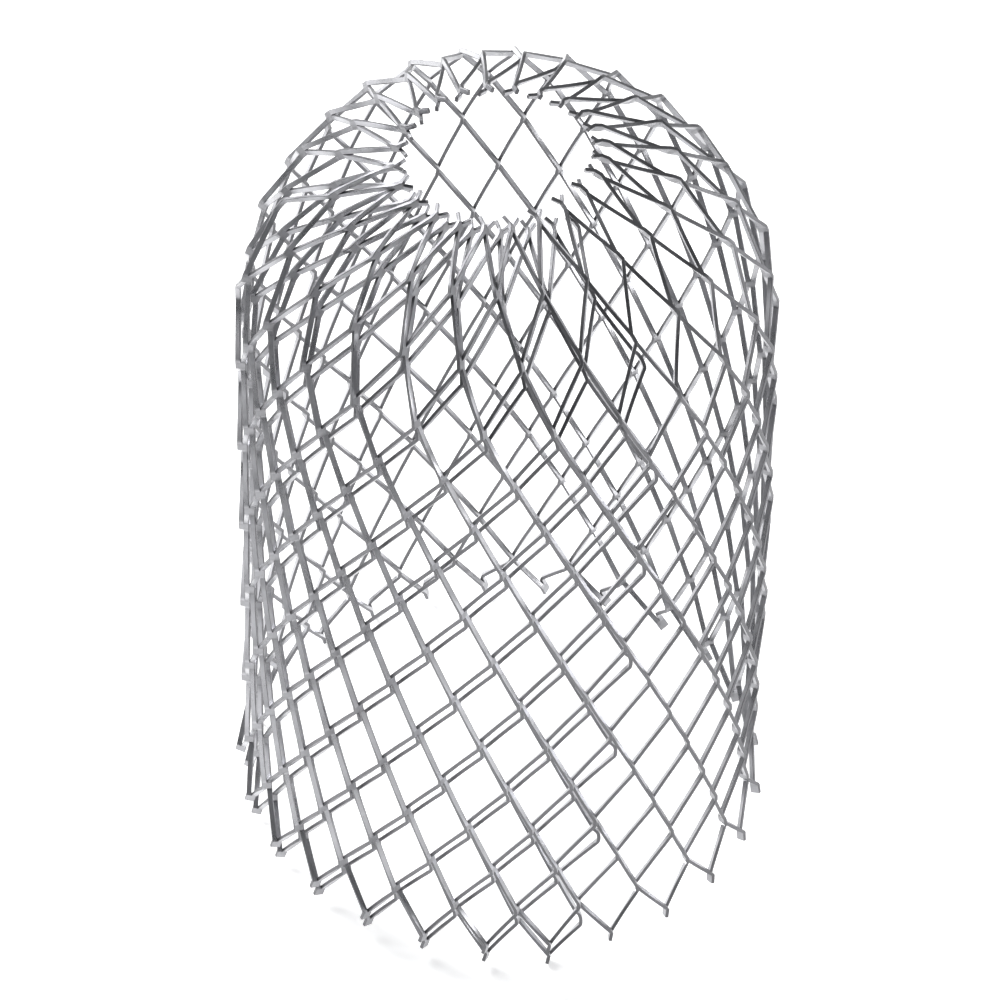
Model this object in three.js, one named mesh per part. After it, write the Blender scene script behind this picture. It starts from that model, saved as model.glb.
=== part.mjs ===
import * as THREE from 'three';

// Downspout strainer made of one strip of expanded aluminium mesh: the strip is rolled into a
// sleeve whose two free edges overlap, and its top rows are drawn in to a dome with a round hole.
// The mesh is a lattice of bonds. Rows count upward from the bottom tips, and columns count
// around the sleeve. On even rows the bonds sit on whole columns, on odd rows half way between.
// Every diamond column is one body: two zigzag strands that fuse at its own bonds and meet the
// neighbouring columns at the odd-row bonds. Lengths are millimetres, angles are degrees.

// lattice
const FIRST_COLUMN = -7;
const LAST_COLUMN = 25;
const TOP_ROW = 15;
const FIRST_ROW_LENGTH = 7.41;
const LOW_ROW_LENGTH = 9.79;
const HIGH_ROW_LENGTH = 9.36;
const SLEEVE_ROWS = 11;
const DOME_ROW_LENGTHS = [10.09, 10.92, 11.03];

// rolled form: a sleeve, then half an ellipse, with the columns running round as a flat helix
const SLEEVE_RADIUS = 38;
const SLEEVE_HEIGHT = 107.02;
const DOME_HEIGHT = 28.6;
const START_ANGLE = 12.31;
const COLUMN_ANGLE = 14.329;
const TOP_COLUMN_ANGLE = 14.283;
const TWIST_PER_ROW = 1.25;
const TWIST_BOW = -2.36;
const DROP_PER_COLUMN = 0.324;

// overlap of the two free edges: outer layer up to LAP_OUTER_END, inner from LAP_INNER_START on,
// with the outer edge pressed back towards the inner layer
const LAYER_SPACING = 1.7;
const EDGE_PRESS = 0.35;
const LAP_OUTER_END = 0.5;
const LAP_INNER_START = 18;
const OUTER_EDGE_DROP = 1.74;
const INNER_LAYER_RISE = 9.21;
const INNER_LAYER_TURN = [2.39, 3.18];
const INNER_EDGE_DROP = [7.52, -0.38];

// unevenness of the hand-formed sleeve and dome
const OVAL = [-0.88, 0.27];
const WAIST = 0.35;
const TOP_LEAN = [-4.6, 2.61];
const HOLE_SHIFT = [1.72, 0.35];
const TOP_TURN = [-1.71, 2.83, -0.3, 1.39];
const TOP_TIP = [-3.71, -0.65];
const TOP_WAVE = [1.14, 1.39];
const TOP_OVAL = [0.02, -0.51];
const DENT = { column: 2, row: 13.3, columns: 1.7, rows: 1.3, depth: 1.12, turn: -0.98 };
const TIP_FLARE = 1.32;
const TIP_TURN = 1.11;
const TIP_SHIFT = [0.34, -0.93];
const BACK_TIPS = { column: 8.6, columns: 1.9, flare: 1.1, turn: -2 };

// last rows pulled over towards one side of the hole, with the two layers parted at the overlap
const RING_START_ROW = 13.54;
const RING_PULL = [-3.77, -4.51];
const RING_PULL_ANGLE = 221;
const RING_OUTER = [-0.95, -2.07];
const RING_INNER = [1.23, 1.65];

// strand section and bonds
const STRAND_WIDTH = 0.7;
const STRAND_THICKNESS = 0.5;
const BOND_LENGTH = 1.1;
const BOND_TURN = 70;
const BOND_SLANT = 12;
const TIP_LENGTH = 1.4;
const TIP_TOP = 1.0;
const TIP_SLANT = -14;
const JOINT_GAP = 0.3;
const FORK_LENGTH = 1.5;
const FORK_SPREAD = 30;
const LOOP_LENGTH = 2.4;
const LOOP_BULGE = 0.6;

const BARE_ALUMINIUM = { color: 0xb4b5ba, metalness: 0.9, roughness: 0.38 };

const radians = THREE.MathUtils.degToRad;
const clamp = THREE.MathUtils.clamp;

// distance along the sheet from the bottom row to a row
function distanceOfRow(row) {
  const sleeve = clamp(row - 1, 0, SLEEVE_ROWS);
  const growth = (HIGH_ROW_LENGTH - LOW_ROW_LENGTH) / (2 * SLEEVE_ROWS);
  let distance = FIRST_ROW_LENGTH * Math.min(row, 1) + sleeve * (LOW_ROW_LENGTH + growth * sleeve);
  DOME_ROW_LENGTHS.forEach((length, index) => {
    const start = 1 + SLEEVE_ROWS + index;
    const end = index + 1 < DOME_ROW_LENGTHS.length ? 1 : 2;
    distance += length * clamp(row - start, 0, end);
  });
  return distance;
}

// side profile of the form: a straight sleeve, then a quarter of an ellipse
function profileAt(distance) {
  const height = distance + TIP_TOP;
  if (height <= SLEEVE_HEIGHT) {
    return { radius: SLEEVE_RADIUS, height, outR: 1, outZ: 0 };
  }
  const step = 0.002;
  let angle = 0;
  let left = height - SLEEVE_HEIGHT;
  while (left > 0) {
    const speed = Math.hypot(SLEEVE_RADIUS * Math.sin(angle), DOME_HEIGHT * Math.cos(angle));
    angle += Math.min(step, left / speed);
    left -= speed * step;
  }
  const outR = Math.cos(angle) / SLEEVE_RADIUS;
  const outZ = Math.sin(angle) / DOME_HEIGHT;
  const length = Math.hypot(outR, outZ);
  return {
    radius: SLEEVE_RADIUS * Math.cos(angle),
    height: SLEEVE_HEIGHT + DOME_HEIGHT * Math.sin(angle),
    outR: outR / length,
    outZ: outZ / length,
  };
}

// how far the sheet stands outside the mean form because of the overlap
function layerOffset(column) {
  const t = clamp((column - LAP_OUTER_END) / (LAP_INNER_START - LAP_OUTER_END), 0, 1);
  const press = clamp((-1 - column) / 2.5, 0, 1);
  return LAYER_SPACING * (0.5 - t * t * (3 - 2 * t)) - EDGE_PRESS * press * press * (3 - 2 * press);
}

// sideways pull on the last rows around the hole
function ringShift(column, row, angle) {
  const strength = clamp((row - RING_START_ROW) / (TOP_ROW - RING_START_ROW), 0, 1);
  const pull = (0.5 + 0.5 * Math.cos(angle - radians(RING_PULL_ANGLE))) ** 2;
  const outer = clamp((2 - column) / 3, 0, 1);
  const inner = clamp((column - 19) / 4, 0, 1);
  return [0, 1].map(
    (axis) => strength * (RING_PULL[axis] * pull + RING_OUTER[axis] * outer + RING_INNER[axis] * inner),
  );
}

// point of the sheet's mid surface
function sheetPoint(column, row) {
  const rise = row / TOP_ROW;
  const tip = clamp(1 - row, 0, 2);
  const innerLayer = clamp((column - 14) / 11, 0, 1) ** 2;
  const innerEdge = clamp((column - 20) / 5.5, 0, 1) ** 2;
  const outerEdge = clamp((1 - column) / 8, 0, 1);
  const dentColumn = (column - DENT.column) / DENT.columns;
  const dentRow = (row - DENT.row) / DENT.rows;
  const dent = Math.exp(-(dentColumn ** 2) - dentRow ** 2);

  const pitch = COLUMN_ANGLE + (TOP_COLUMN_ANGLE - COLUMN_ANGLE) * rise ** 3;
  const twist = TWIST_PER_ROW * row + TWIST_BOW * (rise ** 2 - rise);
  const lapTurn = innerLayer * (INNER_LAYER_TURN[0] + INNER_LAYER_TURN[1] * rise);
  const plain = radians(START_ANGLE + twist + pitch * column + lapTurn);
  const once = TOP_TURN[0] * Math.cos(plain) + TOP_TURN[1] * Math.sin(plain);
  const twice = TOP_TURN[2] * Math.cos(2 * plain) + TOP_TURN[3] * Math.sin(2 * plain);
  const backTip = tip * Math.exp(-(((column - BACK_TIPS.column) / BACK_TIPS.columns) ** 2));
  const bend = TIP_TURN * tip + BACK_TIPS.turn * backTip + DENT.turn * dent;
  const angle = plain + radians((once + twice) * rise + bend);
  const cos = Math.cos(angle);
  const sin = Math.sin(angle);
  const cos2 = Math.cos(2 * angle);
  const sin2 = Math.sin(2 * angle);

  const profile = profileAt(distanceOfRow(row));
  const waist = WAIST * Math.sin(Math.PI * Math.min(rise / 0.8, 1));
  const oval = OVAL[0] * cos2 + OVAL[1] * sin2 + (TOP_OVAL[0] * cos2 + TOP_OVAL[1] * sin2) * rise ** 2;
  const offset = layerOffset(column) + waist + oval;
  const flare = TIP_FLARE * tip + BACK_TIPS.flare * backTip;
  const radius = profile.radius + offset * profile.outR + flare - DENT.depth * dent;
  const lapDrop = innerEdge * (INNER_EDGE_DROP[0] + INNER_EDGE_DROP[1] * rise);
  const drop = DROP_PER_COLUMN * column - INNER_LAYER_RISE * innerLayer + lapDrop;
  const tilt = (TOP_TIP[0] * cos + TOP_TIP[1] * sin) * rise ** 3;
  const wave = (TOP_WAVE[0] * cos2 + TOP_WAVE[1] * sin2) * rise ** 2;
  const height = profile.height + offset * profile.outZ - drop - OUTER_EDGE_DROP * outerEdge;
  const lean = [0, 1].map((axis) => TOP_LEAN[axis] * rise ** 2 + HOLE_SHIFT[axis] * rise ** 8);
  const ring = ringShift(column, row, angle);
  return new THREE.Vector3(
    radius * sin + lean[0] + ring[0] + TIP_SHIFT[0] * tip,
    -radius * cos + lean[1] + ring[1] + TIP_SHIFT[1] * tip,
    height + tilt + wave,
  );
}

// in-plane lean of a bond towards the strands that climb to the left
function bondSlant(row) {
  if (row === 0) {
    return TIP_SLANT;
  }
  return row === TOP_ROW ? 0 : BOND_SLANT;
}

// local axes of a bond: up the sheet, around the sheet, and the turned plate axes
function bondFrame(column, row) {
  const origin = sheetPoint(column, row);
  const meridian = sheetPoint(column, row + 0.05).sub(sheetPoint(column, row - 0.05)).normalize();
  const level = sheetPoint(column + 0.02, row).sub(sheetPoint(column - 0.02, row));
  level.addScaledVector(meridian, -level.dot(meridian)).normalize();
  const outward = level.clone().cross(meridian);
  const slant = radians(bondSlant(row));
  const up = meridian.clone().multiplyScalar(Math.cos(slant));
  up.addScaledVector(level, -Math.sin(slant));
  const around = level.clone().multiplyScalar(Math.cos(slant));
  around.addScaledVector(meridian, Math.sin(slant));
  const turn = radians(BOND_TURN);
  const across = around.clone().multiplyScalar(Math.cos(turn));
  across.addScaledVector(outward, -Math.sin(turn));
  const facing = outward.clone().multiplyScalar(Math.cos(turn));
  facing.addScaledVector(around, Math.sin(turn));
  if (row > 0) {
    return { origin, up, around, across, facing, half: BOND_LENGTH / 2 };
  }
  origin.addScaledVector(up, TIP_TOP - TIP_LENGTH / 2);
  return { origin, up, around, across, facing, half: TIP_LENGTH / 2 };
}

// growing list of corners and triangles of one body
function newBody() {
  return { corners: [], triangles: [] };
}

function addCorner(body, frame, across, facing, along) {
  const point = frame.origin.clone();
  point.addScaledVector(frame.across, across);
  point.addScaledVector(frame.facing, facing);
  point.addScaledVector(frame.up, along);
  body.corners.push(point);
  return body.corners.length - 1;
}

// closed loop of corners around the plate section at the given stations across the bond
function addRing(body, frame, stations, along) {
  const half = STRAND_THICKNESS / 2;
  const back = stations.map((across) => addCorner(body, frame, across, -half, along));
  const front = stations.map((across) => addCorner(body, frame, across, half, along));
  return back.concat(front.reverse());
}

function addWall(body, lower, upper) {
  for (let i = 0; i < lower.length; i += 1) {
    const next = (i + 1) % lower.length;
    body.triangles.push([lower[i], upper[i], upper[next]]);
    body.triangles.push([lower[i], upper[next], lower[next]]);
  }
}

function addCap(body, ring, flip) {
  const last = ring.length - 1;
  for (let i = 0; i < ring.length / 2 - 1; i += 1) {
    const quad = [ring[i], ring[i + 1], ring[last - i - 1], ring[last - i]];
    const turned = flip ? quad.reverse() : quad;
    body.triangles.push([turned[0], turned[1], turned[2]]);
    body.triangles.push([turned[0], turned[2], turned[3]]);
  }
}

function shiftRing(body, ring, direction, amount) {
  for (const index of ring) {
    body.corners[index].addScaledVector(direction, amount);
  }
}

// bottom tips end in a level face, so the part stands on them
function levelRing(body, ring, frame) {
  for (const index of ring) {
    const corner = body.corners[index];
    const level = frame.origin.z - frame.half;
    corner.addScaledVector(frame.up, (level - corner.z) / frame.up.z);
  }
}

// fused bond in the middle of a column: both strands pass through it side by side
function addOwnBond(body, column, row, strands) {
  const frame = bondFrame(column, row);
  const stations = [-STRAND_WIDTH, 0, STRAND_WIDTH];
  const lower = addRing(body, frame, stations, -frame.half);
  const upper = addRing(body, frame, stations, frame.half);
  const halves = (ring) => ({
    left: [ring[0], ring[1], ring[4], ring[5]],
    right: [ring[1], ring[2], ring[3], ring[4]],
  });
  if (row === 0) {
    levelRing(body, lower, frame);
    addCap(body, lower, false);
  } else {
    addWall(body, strands.left, halves(lower).left);
    addWall(body, strands.right, halves(lower).right);
  }
  addWall(body, lower, upper);
  return halves(upper);
}

// half of a bond shared with the next column, or a rounded loop on a free edge of the sheet
function addSideBond(body, column, row, side, strand) {
  const frame = bondFrame(column + side / 2, row);
  const near = JOINT_GAP / 2;
  const far = near + STRAND_WIDTH;
  const stations = side < 0 ? [near, far] : [-far, -near];
  const freeEdge = side < 0 ? column === FIRST_COLUMN : column === LAST_COLUMN;
  const loop = freeEdge && row < TOP_ROW;
  const half = loop ? LOOP_LENGTH / 2 : frame.half;
  const lower = addRing(body, frame, stations, -half);
  addWall(body, strand, lower);
  let last = lower;
  if (loop) {
    for (const along of [-0.4 * half, 0.4 * half]) {
      const bulged = addRing(body, frame, stations, along);
      shiftRing(body, bulged, frame.around, side * LOOP_BULGE);
      addWall(body, last, bulged);
      last = bulged;
    }
  }
  const upper = addRing(body, frame, stations, half);
  addWall(body, last, upper);
  if (row < TOP_ROW) {
    return upper;
  }
  const fork = addRing(body, frame, stations, frame.half);
  const spread = radians(FORK_SPREAD);
  shiftRing(body, fork, frame.up, FORK_LENGTH * Math.cos(spread));
  shiftRing(body, fork, frame.around, -side * FORK_LENGTH * Math.sin(spread));
  addWall(body, upper, fork);
  addCap(body, fork, true);
  return fork;
}

function columnBody(column) {
  const body = newBody();
  let strands = addOwnBond(body, column, 0, null);
  for (let row = 1; row <= TOP_ROW; row += 1) {
    if (row % 2 === 0) {
      strands = addOwnBond(body, column, row, strands);
    } else {
      strands = {
        left: addSideBond(body, column, row, -1, strands.left),
        right: addSideBond(body, column, row, 1, strands.right),
      };
    }
  }
  return body;
}

function bodyGeometry(body) {
  const geometry = new THREE.BufferGeometry();
  const positions = body.corners.flatMap((corner) => corner.toArray());
  geometry.setAttribute('position', new THREE.Float32BufferAttribute(positions, 3));
  geometry.setIndex(body.triangles.flat());
  geometry.computeVertexNormals();
  return geometry;
}

const part = new THREE.Group();
part.name = 'downspout_strainer';

for (let column = FIRST_COLUMN; column <= LAST_COLUMN; column += 1) {
  const number = String(column - FIRST_COLUMN + 1).padStart(2, '0');
  const material = new THREE.MeshStandardMaterial(BARE_ALUMINIUM);
  const mesh = new THREE.Mesh(bodyGeometry(columnBody(column)), material);
  mesh.name = `diamond_column_${number}`;
  part.add(mesh);
}

// stand the part on its lowest tip, centred on the origin
const bounds = new THREE.Box3().setFromObject(part);
const centre = bounds.getCenter(new THREE.Vector3());
for (const mesh of part.children) {
  mesh.geometry.translate(-centre.x, -centre.y, -bounds.min.z);
}

export default part;
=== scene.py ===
import math

import bpy
import numpy as np
from mathutils import Matrix, Vector


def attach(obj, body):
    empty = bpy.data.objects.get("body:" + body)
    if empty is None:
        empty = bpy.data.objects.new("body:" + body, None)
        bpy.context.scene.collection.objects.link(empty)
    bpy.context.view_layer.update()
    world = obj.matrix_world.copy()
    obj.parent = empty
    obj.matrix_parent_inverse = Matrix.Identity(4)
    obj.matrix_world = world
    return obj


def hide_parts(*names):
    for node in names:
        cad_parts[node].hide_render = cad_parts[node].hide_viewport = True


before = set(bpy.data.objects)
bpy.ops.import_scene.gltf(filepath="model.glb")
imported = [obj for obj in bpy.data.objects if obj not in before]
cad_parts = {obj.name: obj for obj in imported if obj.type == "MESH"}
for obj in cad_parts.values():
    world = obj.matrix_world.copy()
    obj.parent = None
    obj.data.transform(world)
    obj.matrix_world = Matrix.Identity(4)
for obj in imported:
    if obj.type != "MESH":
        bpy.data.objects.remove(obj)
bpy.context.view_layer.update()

# Downspout strainer of expanded aluminium mesh. Every diamond column of the CAD model is replaced
# by a finer one: sheared rectangular strands with bevelled corners, turned bond plates, rounded
# loops on the free edges, cut tips and fork stubs. The mesh is worked out in millimetres and
# turned into metres as each column is made; the floor and the lights are placed in metres.

MM = 0.001

# lattice: columns run round the sleeve, rows run up it, half a diamond each
FIRST_COLUMN = -7
LAST_COLUMN = 25
TOP_ROW = 15
FIRST_ROW_LENGTH = 7.41
LOW_ROW_LENGTH = 9.79
HIGH_ROW_LENGTH = 9.36
SLEEVE_ROWS = 11
DOME_ROW_LENGTHS = (10.09, 10.92, 11.03)

# round form and the way the lattice is wound on it
SLEEVE_RADIUS = 38.0
SLEEVE_HEIGHT = 107.02
DOME_HEIGHT = 28.6
START_ANGLE = 12.31
COLUMN_ANGLE = 14.329
TOP_COLUMN_ANGLE = 14.283
TWIST_PER_ROW = 1.25
TWIST_BOW = -2.36
DROP_PER_COLUMN = 0.324

# overlap of the two long edges
LAYER_SPACING = 1.7
LAP_OUTER_END = 0.5
LAP_INNER_START = 18.0
OUTER_EDGE_START, OUTER_EDGE_COLUMNS = 1.0, 8.0
OUTER_EDGE_DROP = 1.74
EDGE_PRESS_START, EDGE_PRESS_COLUMNS = -1.0, 2.5
EDGE_PRESS = 0.35
INNER_LAYER_START, INNER_LAYER_COLUMNS = 14.0, 11.0
INNER_LAYER_RISE = 9.21
INNER_LAYER_TURN = (2.39, 3.18)
INNER_EDGE_START, INNER_EDGE_COLUMNS = 20.0, 5.5
INNER_EDGE_DROP = (7.52, -0.38)

# departures from the round form: oval, waist, lean of the dome, dent, flared and knocked tips
OVAL = (-0.88, 0.27)
WAIST, WAIST_END = 0.35, 0.8
TOP_LEAN = (-4.6, 2.61)
HOLE_SHIFT = (1.72, 0.35)
TOP_TURN = (-1.71, 2.83, -0.3, 1.39)
TOP_TIP = (-3.71, -0.65)
TOP_WAVE = (1.14, 1.39)
TOP_OVAL = (0.02, -0.51)
DENT_COLUMN, DENT_ROW = 2.0, 13.3
DENT_COLUMNS, DENT_ROWS = 1.7, 1.3
DENT_DEPTH, DENT_TURN = 1.12, -0.98
TIP_FLARE = 1.32
TIP_TURN = 1.11
TIP_SHIFT = (0.34, -0.93)
BACK_TIP_COLUMN, BACK_TIP_COLUMNS = 8.6, 1.9
BACK_TIP_TURN, BACK_TIP_FLARE = -2.0, 1.1

# gathered ring of forks around the hole
RING_START_ROW = 13.54
RING_PULL = (-3.77, -4.51)
RING_PULL_ANGLE = 221.0
RING_OUTER = (-0.95, -2.07)
RING_OUTER_START, RING_OUTER_COLUMNS = 2.0, 3.0
RING_INNER = (1.23, 1.65)
RING_INNER_START, RING_INNER_COLUMNS = 19.0, 4.0

# moves the sleeve so that the frame's origin lies under the middle of the part
AXIS_OFFSET = np.array([-0.183, 0.878, 4.528])

# strand section, bonds, tips and forks
STRAND_WIDTH = 0.78
STRAND_THICKNESS = 0.54
CHAMFER = 0.06
BOND_LENGTH = 1.1
BOND_TURN = 70.0
STRAND_TURN = 52.0
BOND_SLANT = 12.0
TIP_LENGTH = 1.4
TIP_TOP = 1.0
TIP_SLANT = -14.0
FORK_LENGTH = 1.5
FORK_SPREAD = 33.0
FORK_STEPS = (0.25, 1.0)
STRAND_STEPS = (0.045, 0.2, 0.38, 0.5, 0.62, 0.8, 0.955)
BOND_STEPS = (-1, 0, 1)

# rounded loops of the two free edges
LOOP_LENGTH = 2.9
LOOP_RISE = 0.45
LOOP_REACH = 0.3
LOOP_BULGE = 0.45
LOOP_STEPS = (-78, -55, -32, -10, 10, 32, 55, 78)
LOOP_DEGREES_PER_MM = 60

# straight ends above the tips at the back, where the strands bend away
ELBOW = 1.5
ELBOW_COLUMN, ELBOW_COLUMNS = 11, 4.5
ELBOW_STEPS = (0.35, 0.75)
LEAST_ELBOW = 0.05

# small steps that give the directions of the sheet at a bond
COLUMN_STEP = 0.02
ROW_STEP = 0.05

# finishes of the metal: name, base colour, roughness, bump strength and streaks across a strand
ROLLED_FACE = ("rolled_sheet_face", (0.47, 0.47, 0.49), 0.28, 0.35, 3.0)
# the sheared edge is rougher than the rolled face, which is real, but its base colour is made far
# darker as painted shade, for the dark outline down the sides of every strand
SHEARED_EDGE_AND_PAINTED_SHADE = ("sheared_edge_and_painted_shade", (0.19, 0.19, 0.2), 0.42, 0.8, 9.0)
STRETCHED_BOND = ("stretched_bond", (0.36, 0.36, 0.375), 0.34, 0.6, 4.0)
METALLIC = 0.9
STREAKS_ALONG = 0.35
FINE_NOISE = {"Scale": 3.0, "Detail": 5.0, "Roughness": 0.6}
BROAD_NOISE = {"Scale": 160.0, "Detail": 3.0, "Roughness": 0.55}
FINE_SHARE = 0.5
TONE_DARKEST, TONE_LIGHTEST = 0.72, 1.22
TONE_START, TONE_END = 0.45, 1.0
ROUGHNESS_NOISE = (0.4, 1.1)
ROUGHNESS_SPREAD = (-0.08, 0.12)
BUMP_DEPTH = 0.00003
SHARP_EDGE = 25

# studio, in metres
FLOOR_HALF = 3.0
FLOOR_LEVEL = -0.0003
FLOOR_COLOUR = (0.9, 0.9, 0.9, 1)
FLOOR_ROUGHNESS = 0.9
FLOOR_SPECULAR = 0.1
FLOOR_GLOW_COLOUR = (1, 1, 1, 1)
FLOOR_GLOW = 0.52
LIGHT_TARGET = (0, 0, 0.07)
LIGHT_SPREAD = 90
KEY_LIGHT = {"position": (-0.7, 0.55, 0.75), "size": 0.7, "energy": 6.0}
SIDE_LIGHT = {"position": (1.1, -0.15, 0.3), "size": 0.5, "energy": 1.1}
SKY_COLOUR = (0.8, 0.82, 0.85, 1)
SKY_STRENGTH = 0.22

# camera: a long lens far away that looks down at the front. Angles are in radians, the distance,
# the target, the sensor and the lens in millimetres, and the clipping range in metres.
CAMERA_ELEVATION = 0.8396
CAMERA_ROLL = 0.0512
CAMERA_DISTANCE = 1000.0
CAMERA_TARGET = np.array([-1.516, 0.0, 59.568])
CAMERA_SENSOR = 36
CAMERA_LENS = 238.05
CAMERA_NEAR, CAMERA_FAR = 0.05, 20


def share(value, start, span):
    """How far a value has gone along a span, from 0 to 1."""
    return np.clip((value - start) / span, 0, 1)


def ease(t):
    """Smooth step from 0 to 1."""
    return t * t * (3 - 2 * t)


def unit(v):
    return v / np.linalg.norm(v)


def distance_of_row(row):
    """Length along the sheet from the tips' bonds to a row."""
    row = np.asarray(row, float)
    sleeve = np.clip(row - 1, 0, SLEEVE_ROWS)
    growth = (HIGH_ROW_LENGTH - LOW_ROW_LENGTH) / (2 * SLEEVE_ROWS)
    distance = FIRST_ROW_LENGTH * np.minimum(row, 1) + sleeve * (LOW_ROW_LENGTH + growth * sleeve)
    for index, length in enumerate(DOME_ROW_LENGTHS):
        end = 1 if index + 1 < len(DOME_ROW_LENGTHS) else 2
        distance = distance + length * np.clip(row - 1 - SLEEVE_ROWS - index, 0, end)
    return distance


# lengths along the quarter ellipse of the dome, to find the angle at a given length
ARC_ANGLES = np.linspace(0, math.pi / 2, 721)
ARC_SPEED = np.hypot(SLEEVE_RADIUS * np.sin(ARC_ANGLES), DOME_HEIGHT * np.cos(ARC_ANGLES))
ARC_STEPS = (ARC_SPEED[1:] + ARC_SPEED[:-1]) / 2 * ARC_ANGLES[1]
ARC_LENGTHS = np.concatenate([[0], np.cumsum(ARC_STEPS)])


def sheet_point(column, row):
    """Point of the sheet's mid surface at a column and a row, both of them fractional."""
    column, row = np.broadcast_arrays(np.asarray(column, float), np.asarray(row, float))
    rise = row / TOP_ROW
    tip = np.clip(1 - row, 0, 2)
    knock = tip * np.exp(-(((column - BACK_TIP_COLUMN) / BACK_TIP_COLUMNS) ** 2))
    lap = share(column, LAP_OUTER_END, LAP_INNER_START - LAP_OUTER_END)
    press = share(column, EDGE_PRESS_START, -EDGE_PRESS_COLUMNS)
    inner_layer = share(column, INNER_LAYER_START, INNER_LAYER_COLUMNS) ** 2
    inner_edge = share(column, INNER_EDGE_START, INNER_EDGE_COLUMNS) ** 2
    outer_edge = share(column, OUTER_EDGE_START, -OUTER_EDGE_COLUMNS)
    dent_column = (column - DENT_COLUMN) / DENT_COLUMNS
    dent_row = (row - DENT_ROW) / DENT_ROWS
    dent = np.exp(-(dent_column**2) - dent_row**2)

    # direction round the axis
    pitch = COLUMN_ANGLE + (TOP_COLUMN_ANGLE - COLUMN_ANGLE) * rise**3
    twist = TWIST_PER_ROW * row + TWIST_BOW * (rise**2 - rise)
    lap_turn = inner_layer * (INNER_LAYER_TURN[0] + INNER_LAYER_TURN[1] * rise)
    plain = np.radians(START_ANGLE + twist + pitch * column + lap_turn)
    once = TOP_TURN[0] * np.cos(plain) + TOP_TURN[1] * np.sin(plain)
    twice = TOP_TURN[2] * np.cos(2 * plain) + TOP_TURN[3] * np.sin(2 * plain)
    bend = (once + twice) * rise + TIP_TURN * tip + BACK_TIP_TURN * knock + DENT_TURN * dent
    angle = plain + np.radians(bend)
    cos, sin = np.cos(angle), np.sin(angle)
    cos2, sin2 = np.cos(2 * angle), np.sin(2 * angle)

    # sleeve and dome, and the direction square to them
    level = distance_of_row(row) + TIP_TOP
    arc = np.interp(level - SLEEVE_HEIGHT, ARC_LENGTHS, ARC_ANGLES)
    radius = SLEEVE_RADIUS * np.cos(arc)
    height = np.where(level < SLEEVE_HEIGHT, level, SLEEVE_HEIGHT + DOME_HEIGHT * np.sin(arc))
    out_r, out_z = np.cos(arc) / SLEEVE_RADIUS, np.sin(arc) / DOME_HEIGHT
    length = np.hypot(out_r, out_z)

    # distance from that form: the two layers, the pressed edge, the waist and the oval
    offset = LAYER_SPACING * (0.5 - ease(lap)) - EDGE_PRESS * ease(press)
    offset = offset + WAIST * np.sin(math.pi * np.clip(rise / WAIST_END, 0, 1))
    offset = offset + OVAL[0] * cos2 + OVAL[1] * sin2
    offset = offset + (TOP_OVAL[0] * cos2 + TOP_OVAL[1] * sin2) * rise**2
    radius = radius + offset * out_r / length + TIP_FLARE * tip - DENT_DEPTH * dent
    radius = radius + BACK_TIP_FLARE * knock

    # height: spiral drop of the columns, and the tilt and wave of the top
    lap_drop = inner_edge * (INNER_EDGE_DROP[0] + INNER_EDGE_DROP[1] * rise)
    drop = DROP_PER_COLUMN * column - INNER_LAYER_RISE * inner_layer + lap_drop
    tilt = (TOP_TIP[0] * cos + TOP_TIP[1] * sin) * rise**3
    wave = (TOP_WAVE[0] * cos2 + TOP_WAVE[1] * sin2) * rise**2
    height = height + offset * out_z / length - drop - OUTER_EDGE_DROP * outer_edge + tilt + wave

    # sideways: the forks drawn to one side, and the lean of the dome
    strength = share(row, RING_START_ROW, TOP_ROW - RING_START_ROW)
    pull = (0.5 + 0.5 * np.cos(angle - math.radians(RING_PULL_ANGLE))) ** 2
    outer = share(column, RING_OUTER_START, -RING_OUTER_COLUMNS)
    inner = share(column, RING_INNER_START, RING_INNER_COLUMNS)
    ring = [
        strength * (RING_PULL[i] * pull + RING_OUTER[i] * outer + RING_INNER[i] * inner)
        for i in (0, 1)
    ]
    lean = [TOP_LEAN[i] * rise**2 + HOLE_SHIFT[i] * rise**8 for i in (0, 1)]
    x = radius * sin + lean[0] + ring[0] + TIP_SHIFT[0] * tip
    y = -radius * cos + lean[1] + ring[1] + TIP_SHIFT[1] * tip
    return np.stack([x, y, height], -1) + AXIS_OFFSET


def turned(around, out, degrees):
    """Width direction of a strand whose face is turned from the sheet by the given angle."""
    return around * math.cos(math.radians(degrees)) - out * math.sin(math.radians(degrees))


class Bond:
    """Place and axes of the bond at a column and row: up, around and outward, slanted in plane."""

    def __init__(self, column, row):
        self.origin = sheet_point(column, row)
        meridian = unit(sheet_point(column, row + ROW_STEP) - sheet_point(column, row - ROW_STEP))
        level = sheet_point(column + COLUMN_STEP, row) - sheet_point(column - COLUMN_STEP, row)
        level = unit(level - meridian * np.dot(level, meridian))
        self.out = np.cross(level, meridian)
        slant = math.radians({0: TIP_SLANT, TOP_ROW: 0.0}.get(row, BOND_SLANT))
        self.up = meridian * math.cos(slant) - level * math.sin(slant)
        self.around = level * math.cos(slant) + meridian * math.sin(slant)
        self.half = BOND_LENGTH / 2
        if row == 0:
            self.half = TIP_LENGTH / 2
            self.origin = self.origin + self.up * (TIP_TOP - self.half)
        self.across = turned(self.around, self.out, BOND_TURN)

    def open_out(self, side):
        """Lengthen a bond that has no neighbour into the ends of a loop."""
        self.half = LOOP_LENGTH / 2
        self.origin = self.origin + self.up * LOOP_RISE + self.around * side * LOOP_REACH


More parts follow.
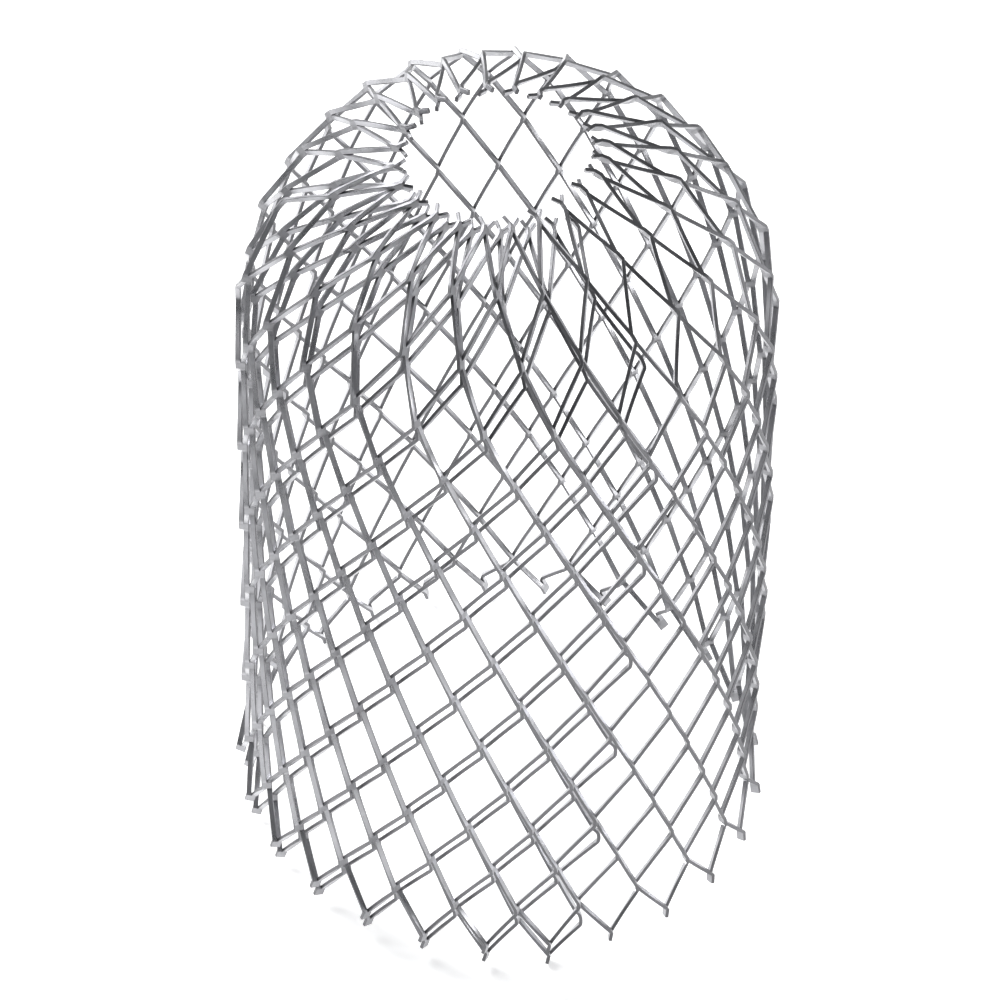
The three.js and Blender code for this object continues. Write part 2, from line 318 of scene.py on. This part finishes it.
class Body:
    """Corners, faces and strand coordinates of one column."""

    def __init__(self):
        self.corners = []
        self.faces = []
        self.coords = []
        self.kinds = []

    def corner(self, point, coord):
        self.corners.append(point)
        self.coords.append(coord)
        return len(self.corners) - 1

    def face(self, ring, kind):
        """Face through a ring of corners, where a corner that follows itself counts once."""
        clean = []
        for index in ring:
            if not clean or clean[-1] != index:
                clean.append(index)
        if clean[0] == clean[-1]:
            clean.pop()
        if len(clean) > 2:
            self.faces.append(clean)
            self.kinds.append(kind)

    def wall(self, lower, upper, kinds):
        """Band of faces between two rings of corners."""
        count = len(lower)
        for i in range(count):
            n = (i + 1) % count
            self.face([lower[i], upper[i], upper[n], lower[n]], kinds[i])


# kinds of face, the material slot of each, and the kinds round a strand, round a strand's half of
# a shared bond, and round the double ring of a fused bond
# the chamfer faces take the dark edge material of slot 1 as painted shade along the corners of
# every strand
ROLLED, SHEARED, PAINTED_SHADE_CHAMFER, STRETCHED = range(4)
SLOT_OF_KIND = (0, 1, 1, 2)
RING_KINDS = (PAINTED_SHADE_CHAMFER, ROLLED, PAINTED_SHADE_CHAMFER, SHEARED) * 2
NECK_KINDS = (PAINTED_SHADE_CHAMFER, STRETCHED, PAINTED_SHADE_CHAMFER, SHEARED) * 2
BOND_KINDS = (PAINTED_SHADE_CHAMFER, STRETCHED, STRETCHED, PAINTED_SHADE_CHAMFER, SHEARED) * 2


def section_axes(width_direction, along):
    """Width and thickness directions square to the line of the strand."""
    a = unit(width_direction - along * np.dot(width_direction, along))
    return a, np.cross(a, along)


def add_ring(body, centre, width_direction, along, travelled, square_side=0):
    """Eight corners around a strand; the side that lies against a neighbour keeps no chamfer."""
    a, b = section_axes(width_direction, along)
    w, h = STRAND_WIDTH / 2, STRAND_THICKNESS / 2
    low = 0.0 if square_side < 0 else CHAMFER
    high = 0.0 if square_side > 0 else CHAMFER
    outline = [
        (-w, -h + low), (-w + low, -h), (w - high, -h), (w, -h + high),
        (w, h - high), (w - high, h), (-w + low, h), (-w, h - low),
    ]
    corner_of = {}
    for x, y in outline:
        if (x, y) not in corner_of:
            corner_of[x, y] = body.corner(centre + a * x + b * y, (x + y, travelled))
    return [corner_of[place] for place in outline]


def add_bond_ring(body, bond, step, travelled):
    """Ten corners around the two strands that pass through a fused bond side by side."""
    a, b = section_axes(bond.across, bond.up)
    centre = bond.origin + bond.up * step * bond.half
    w, h, c = STRAND_WIDTH, STRAND_THICKNESS / 2, CHAMFER
    outline = [
        (-w, -h + c), (-w + c, -h), (0, -h), (w - c, -h), (w, -h + c),
        (w, h - c), (w - c, h), (0, h), (-w + c, h), (-w, h - c),
    ]
    return [body.corner(centre + a * x + b * y, (x + y, travelled)) for x, y in outline]


def half_ring(ring, side):
    """Corners of one strand out of the ten of a fused bond, the middle ones counted twice."""
    r = ring
    if side < 0:
        return [r[0], r[1], r[2], r[2], r[7], r[7], r[8], r[9]]
    return [r[2], r[2], r[3], r[4], r[5], r[6], r[7], r[7]]


def add_own_bond(body, column, row):
    """Fused bond in the middle of a column."""
    bond = Bond(column, row)
    travelled = float(distance_of_row(row))
    rings = [add_bond_ring(body, bond, step, travelled + step / 2) for step in BOND_STEPS]
    for lower, upper in zip(rings[:-1], rings[1:]):
        body.wall(lower, upper, BOND_KINDS)
    return rings


def add_strand(body, start, lower_shift, end, upper_shift, previous, travelled, elbow):
    """Straight bar between two bonds, turning a little flatter towards its middle."""
    p = start.origin + start.up * start.half + start.across * lower_shift
    q = end.origin - end.up * end.half + end.across * upper_shift
    if elbow > LEAST_ELBOW:
        for part in ELBOW_STEPS:
            ring = add_ring(body, p + start.up * elbow * part, start.across, start.up, travelled)
            body.wall(previous, ring, RING_KINDS)
            previous = ring
    p = p + start.up * elbow
    length = np.linalg.norm(q - p)
    along = (q - p) / length
    for t in STRAND_STEPS:
        around = unit(start.around * (1 - t) + end.around * t)
        out = unit(start.out * (1 - t) + end.out * t)
        turn = BOND_TURN + (STRAND_TURN - BOND_TURN) * math.sin(math.pi * t)
        width_direction = turned(around, out, turn)
        ring = add_ring(body, p + (q - p) * t, width_direction, along, travelled + length * t)
        body.wall(previous, ring, RING_KINDS)
        previous = ring
    return previous, travelled + length


def add_loop(body, bond, shift, side, previous, travelled):
    """Rounded turn of the outermost strand where the sheet has no neighbouring column."""
    for degrees in LOOP_STEPS:
        angle = math.radians(degrees)
        rise = bond.up * bond.half * math.sin(angle)
        bulge = bond.around * side * LOOP_BULGE * math.cos(angle)
        centre = bond.origin + bond.across * shift + rise + bulge
        run = bond.up * bond.half * math.cos(angle)
        run = run - bond.around * side * LOOP_BULGE * math.sin(angle)
        passed = travelled + degrees / LOOP_DEGREES_PER_MM
        ring = add_ring(body, centre, bond.across, unit(run), passed)
        body.wall(previous, ring, RING_KINDS)
        previous = ring
    return previous


def add_neck(body, bond, shift, side, previous, travelled):
    """Strand's half of a bond that it shares with the next column."""
    for step in BOND_STEPS:
        centre = bond.origin + bond.up * bond.half * step + bond.across * shift
        ring = add_ring(body, centre, bond.across, bond.up, travelled + step / 2, side)
        body.wall(previous, ring, NECK_KINDS)
        previous = ring
    return previous


def add_fork(body, bond, shift, side, previous, travelled):
    """Cut stub that bends away from its neighbour above the top bond."""
    spread = math.radians(FORK_SPREAD)
    direction = bond.up * math.cos(spread) - bond.around * side * math.sin(spread)
    root = bond.origin + bond.up * bond.half + bond.across * shift
    for reach in FORK_STEPS:
        centre = root + direction * FORK_LENGTH * reach
        ring = add_ring(body, centre, bond.across, direction, travelled + reach)
        body.wall(previous, ring, RING_KINDS)
        previous = ring
    body.face(previous, SHEARED)


def add_zigzag(body, column, side, own_bonds):
    """Strand that runs up one side of a column, from its tip through every bond to its fork."""
    free = column + side < FIRST_COLUMN or column + side > LAST_COLUMN
    inward = side * STRAND_WIDTH / 2
    previous = half_ring(own_bonds[0][-1], side)
    travelled = 1.0
    for row in range(TOP_ROW):
        outbound = row % 2 == 0
        last = row + 1 == TOP_ROW
        start = Bond(column if outbound else column + side / 2, row)
        end = Bond(column + side / 2 if outbound else column, row + 1)
        if free and not outbound:
            start.open_out(side)
        if free and outbound and not last:
            end.open_out(side)
        shift = inward if outbound else -inward
        elbow = 0.0
        if row == 0 and side < 0:
            elbow = ELBOW * math.exp(-(((column - ELBOW_COLUMN) / ELBOW_COLUMNS) ** 4))
        previous, travelled = add_strand(
            body, start, shift, end, -shift, previous, travelled, elbow
        )
        if not outbound:
            body.wall(previous, half_ring(own_bonds[row + 1][0], side), RING_KINDS)
            previous = half_ring(own_bonds[row + 1][-1], side)
        elif free and not last:
            previous = add_loop(body, end, -shift, side, previous, travelled)
        else:
            previous = add_neck(body, end, -shift, side, previous, travelled)
    add_fork(body, end, -shift, side, previous, travelled)


def build_column(column):
    """One column of diamonds: two zigzag strands fused at the even-row bonds."""
    body = Body()
    own_bonds = {row: add_own_bond(body, column, row) for row in range(0, TOP_ROW + 1, 2)}
    body.face(own_bonds[0][0][::-1], SHEARED)
    for side in (-1, 1):
        add_zigzag(body, column, side, own_bonds)
    return body


def show(thing):
    bpy.context.scene.collection.objects.link(thing)


def make_piece(name, body, materials):
    """Blender object of a column, with strand coordinates for the streaks in the metal."""
    mesh = bpy.data.meshes.new(name)
    corners = np.array(body.corners) * MM
    mesh.from_pydata(corners.tolist(), [], body.faces)
    mesh.polygons.foreach_set("material_index", [SLOT_OF_KIND[kind] for kind in body.kinds])
    uv = mesh.uv_layers.new(name="strand")
    loops = np.zeros(len(mesh.loops), int)
    mesh.loops.foreach_get("vertex_index", loops)
    uv.data.foreach_set("uv", np.array(body.coords)[loops].ravel())
    mesh.polygons.foreach_set("use_smooth", [True] * len(mesh.polygons))
    mesh.set_sharp_from_angle(angle=math.radians(SHARP_EDGE))
    mesh.update()
    for material in materials:
        mesh.materials.append(material)
    return bpy.data.objects.new(name, mesh)


def node(tree, kind, **values):
    """New shader node; a value goes to the input of that name, or else to the node's setting."""
    made = tree.nodes.new(kind)
    for key, value in values.items():
        if key in made.inputs:
            made.inputs[key].default_value = value
        else:
            setattr(made, key, value)
    return made


def aluminium(name, tint, roughness, grain, streaks_across):
    """Bare metal with fine streaks along the strand and broad changes of tone."""
    material = bpy.data.materials.new(name)
    material.use_nodes = True
    tree = material.node_tree
    link = tree.links.new
    metal = tree.nodes["Principled BSDF"]
    metal.inputs["Metallic"].default_value = METALLIC

    place = node(tree, "ShaderNodeTexCoord")
    along = node(tree, "ShaderNodeMapping")
    along.inputs["Scale"].default_value = (streaks_across, STREAKS_ALONG, 1.0)
    link(place.outputs["UV"], along.inputs["Vector"])
    fine = node(tree, "ShaderNodeTexNoise", **FINE_NOISE)
    link(along.outputs["Vector"], fine.inputs["Vector"])
    broad = node(tree, "ShaderNodeTexNoise", **BROAD_NOISE)
    link(place.outputs["Object"], broad.inputs["Vector"])
    mix = node(tree, "ShaderNodeMath", operation="MULTIPLY_ADD")
    link(fine.outputs["Fac"], mix.inputs[0])
    mix.inputs[1].default_value = FINE_SHARE
    link(broad.outputs["Fac"], mix.inputs[2])

    tone = node(tree, "ShaderNodeValToRGB")
    dark, light = tone.color_ramp.elements
    dark.position = TONE_START
    light.position = TONE_END
    dark.color = (*[level * TONE_DARKEST for level in tint], 1)
    light.color = (*[min(level * TONE_LIGHTEST, 1) for level in tint], 1)
    link(mix.outputs[0], tone.inputs["Fac"])
    link(tone.outputs["Color"], metal.inputs["Base Color"])

    rough = node(tree, "ShaderNodeMapRange")
    rough.inputs["From Min"].default_value = ROUGHNESS_NOISE[0]
    rough.inputs["From Max"].default_value = ROUGHNESS_NOISE[1]
    rough.inputs["To Min"].default_value = roughness + ROUGHNESS_SPREAD[0]
    rough.inputs["To Max"].default_value = roughness + ROUGHNESS_SPREAD[1]
    link(mix.outputs[0], rough.inputs["Value"])
    link(rough.outputs[0], metal.inputs["Roughness"])

    bump = node(tree, "ShaderNodeBump", Strength=grain, Distance=BUMP_DEPTH)
    link(fine.outputs["Fac"], bump.inputs["Height"])
    link(bump.outputs["Normal"], metal.inputs["Normal"])
    return material


def add_columns():
    """The mesh: one piece in the place of each column of the CAD model."""
    materials = [aluminium(*finish) for finish in (ROLLED_FACE, SHEARED_EDGE_AND_PAINTED_SHADE, STRETCHED_BOND)]
    for column in range(FIRST_COLUMN, LAST_COLUMN + 1):
        number = column - FIRST_COLUMN + 1
        piece = make_piece(f"mesh_column_{number:02d}", build_column(column), materials)
        show(piece)
        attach(piece, "root")
        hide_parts(f"diamond_column_{number:02d}")


def add_floor():
    """Plain pale floor that glows a little, so that it stays evenly light."""
    mesh = bpy.data.meshes.new("floor")
    places = [
        (x * FLOOR_HALF, y * FLOOR_HALF, 0)
        for x, y in ((-1, -1), (1, -1), (1, 1), (-1, 1))
    ]
    mesh.from_pydata(places, [], [(0, 1, 2, 3)])
    floor = bpy.data.objects.new("floor", mesh)
    floor.location.z = FLOOR_LEVEL
    material = bpy.data.materials.new("paper")
    material.use_nodes = True
    paper = material.node_tree.nodes["Principled BSDF"]
    paper.inputs["Base Color"].default_value = FLOOR_COLOUR
    paper.inputs["Roughness"].default_value = FLOOR_ROUGHNESS
    paper.inputs["Specular IOR Level"].default_value = FLOOR_SPECULAR
    paper.inputs["Emission Color"].default_value = FLOOR_GLOW_COLOUR
    paper.inputs["Emission Strength"].default_value = FLOOR_GLOW
    mesh.materials.append(material)
    show(floor)


def add_area_light(name, position, size, energy):
    """Soft round light that points at the middle of the part."""
    lamp = bpy.data.lights.new(name, "AREA")
    lamp.shape = "DISK"
    lamp.size = size
    lamp.spread = math.radians(LIGHT_SPREAD)
    lamp.energy = energy
    light = bpy.data.objects.new(name, lamp)
    light.location = position
    light.rotation_mode = "QUATERNION"
    direction = Vector(LIGHT_TARGET) - Vector(position)
    light.rotation_quaternion = direction.to_track_quat("-Z", "Y")
    show(light)


def add_sky():
    """Dim even light from all round."""
    world = bpy.data.worlds.new("studio")
    world.use_nodes = True
    background = world.node_tree.nodes["Background"]
    background.inputs["Color"].default_value = SKY_COLOUR
    background.inputs["Strength"].default_value = SKY_STRENGTH
    bpy.context.scene.world = world


def add_camera():
    """Camera placed by its own three axes: across, up and back from the part."""
    back = np.array([0, -math.cos(CAMERA_ELEVATION), math.sin(CAMERA_ELEVATION)])
    level = np.array([1.0, 0, 0])
    steep = np.cross(back, level)
    across = math.cos(CAMERA_ROLL) * level + math.sin(CAMERA_ROLL) * steep
    up = -math.sin(CAMERA_ROLL) * level + math.cos(CAMERA_ROLL) * steep
    position = (CAMERA_TARGET + AXIS_OFFSET + back * CAMERA_DISTANCE) * MM
    optics = bpy.data.cameras.new("camera")
    optics.sensor_width = CAMERA_SENSOR
    optics.lens = CAMERA_LENS
    optics.clip_start = CAMERA_NEAR
    optics.clip_end = CAMERA_FAR
    camera = bpy.data.objects.new("camera", optics)
    matrix = Matrix.Identity(4)
    for i in range(3):
        matrix[i] = (across[i], up[i], back[i], position[i])
    camera.matrix_world = matrix
    show(camera)
    bpy.context.scene.camera = camera


add_columns()
add_floor()
add_area_light("key", **KEY_LIGHT)
add_area_light("side", **SIDE_LIGHT)
add_sky()
bpy.context.scene.view_settings.view_transform = "Standard"
add_camera()
